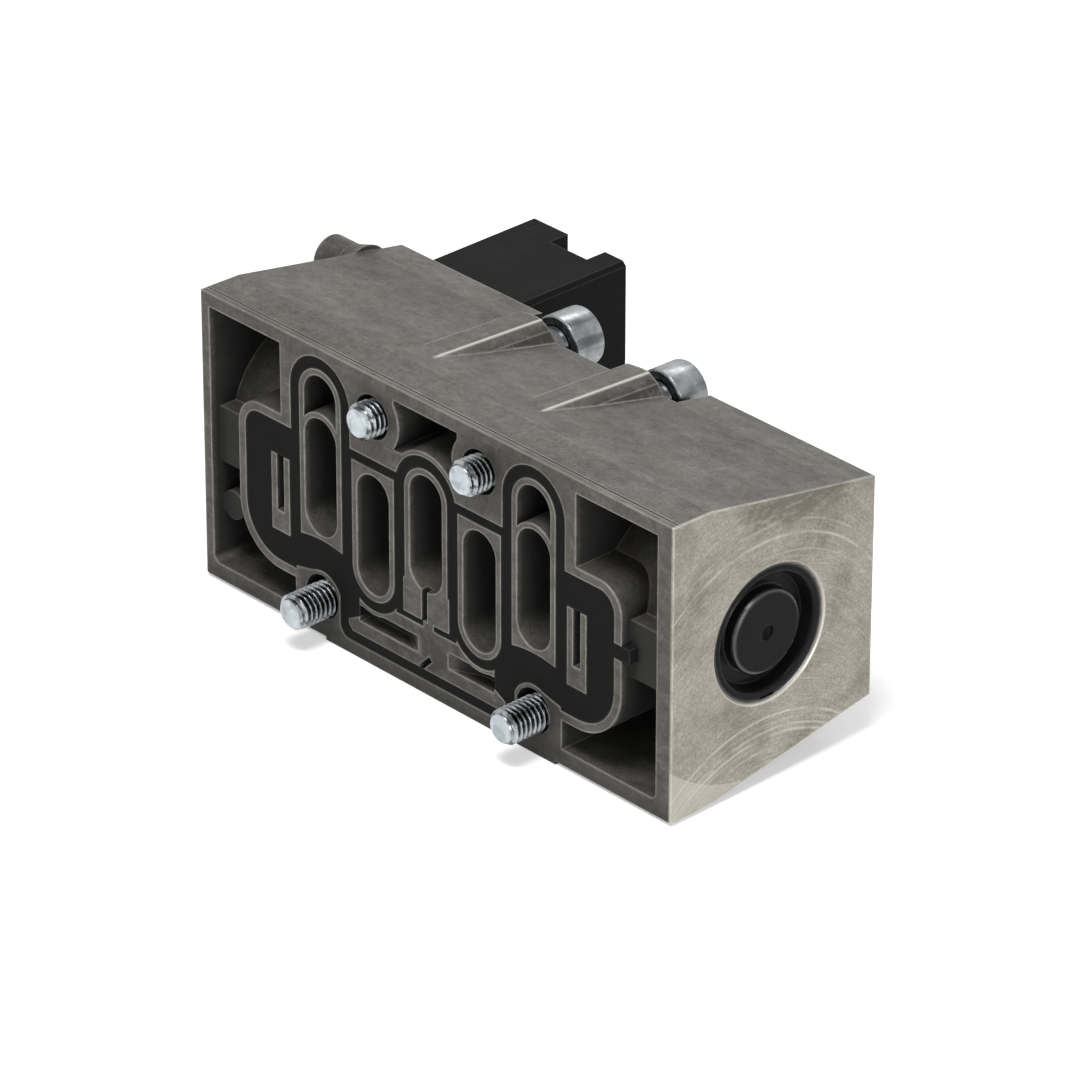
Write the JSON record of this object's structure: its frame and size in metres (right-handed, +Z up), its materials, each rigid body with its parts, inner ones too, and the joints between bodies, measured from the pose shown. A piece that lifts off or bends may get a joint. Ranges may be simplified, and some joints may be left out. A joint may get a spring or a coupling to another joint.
{
  "type": "pilot solenoid valve",
  "caption": "Five-port air valve body with staggered port slots, face gasket, mounting screws, end plugs, spring-return spool and a pilot solenoid.",
  "frame": {"origin": "centre of the port pattern, in the plane of the face that meets the sub-base", "axes": "+X along the spool towards the end with the return spring, +Y from the port face into the body, +Z up as the valve stands in the picture, towards the upper pair of mounting screws"},
  "size_m": [0.1515, 0.1005, 0.0674],
  "materials": {
    "valve_body": "die cast, unpainted, machined end",
    "interface_gasket": "matt moulded",
    "upper_left_screw": "bright zinc",
    "upper_right_screw": "bright zinc",
    "lower_left_screw": "bright zinc",
    "lower_right_screw": "bright zinc",
    "spool": "turned",
    "spool_seals": "matt moulded",
    "pilot_piston": "moulded",
    "piston_seal": "matt moulded",
    "return_spring": "spring wire",
    "right_end_plug": "smooth moulded",
    "left_end_plug": "smooth moulded",
    "right_plug_seal": "matt moulded",
    "left_plug_seal": "matt moulded",
    "right_retaining_ring": "black oxide wire",
    "left_retaining_ring": "black oxide wire",
    "pilot_gasket": "matt moulded",
    "pilot_body": "moulded",
    "valve_seat": "turned",
    "override_button": "turned",
    "override_seal": "matt moulded",
    "override_spring": "spring wire",
    "armature_tube": "drawn and welded",
    "tube_seal": "matt moulded",
    "plunger": "turned",
    "plunger_seal": "matt moulded",
    "plunger_spring": "spring wire",
    "magnet_yoke": "bent sheet",
    "coil_bobbin": "moulded",
    "coil_winding": "enamelled copper wire",
    "pilot_housing": "moulded over the coil",
    "terminal_blades": "tinned",
    "tube_nut": "bright zinc",
    "pilot_screws": "bright zinc"
  },
  "bodies": {
    "valve": {"valve_body": "valve_body", "interface_gasket": "interface_gasket", "upper_left_screw": "upper_left_screw", "upper_right_screw": "upper_right_screw", "lower_left_screw": "lower_left_screw", "lower_right_screw": "lower_right_screw", "return_spring": "return_spring", "right_end_plug": "right_end_plug", "left_end_plug": "left_end_plug", "right_plug_seal": "right_plug_seal", "left_plug_seal": "left_plug_seal", "right_retaining_ring": "right_retaining_ring", "left_retaining_ring": "left_retaining_ring", "pilot_gasket": "pilot_gasket", "pilot_body": "pilot_body", "valve_seat": "valve_seat", "override_spring": "override_spring", "armature_tube": "armature_tube", "tube_seal": "tube_seal", "plunger_spring": "plunger_spring", "magnet_yoke": "magnet_yoke", "coil_bobbin": "coil_bobbin", "coil_winding": "coil_winding", "pilot_housing": "pilot_housing", "terminal_blades": "terminal_blades", "tube_nut": "tube_nut", "pilot_screws": "pilot_screws"},
    "spool_set": {"spool": "spool", "spool_seals": "spool_seals", "pilot_piston": "pilot_piston", "piston_seal": "piston_seal"},
    "plunger_set": {"plunger": "plunger", "plunger_seal": "plunger_seal"},
    "override": {"override_button": "override_button", "override_seal": "override_seal"}
  },
  "joints": [
    {"name": "spool_slide", "type": "slide", "parent": "valve", "child": "spool_set", "axis": [1, 0, 0], "range_m": [0, 0.007], "stiffness_N_per_m": 3000, "springref_m": -0.006, "deforming": ["return_spring"]},
    {"name": "plunger_slide", "type": "slide", "parent": "valve", "child": "plunger_set", "axis": [0, 1, 0], "range_m": [0, 0.0008], "stiffness_N_per_m": 400, "springref_m": -0.003, "deforming": ["plunger_spring"]},
    {"name": "override_press", "type": "slide", "parent": "valve", "child": "override", "axis": [0, 0, 1], "range_m": [0, 0.0012], "stiffness_N_per_m": 500, "springref_m": -0.001, "deforming": ["override_spring"]}
  ]
}
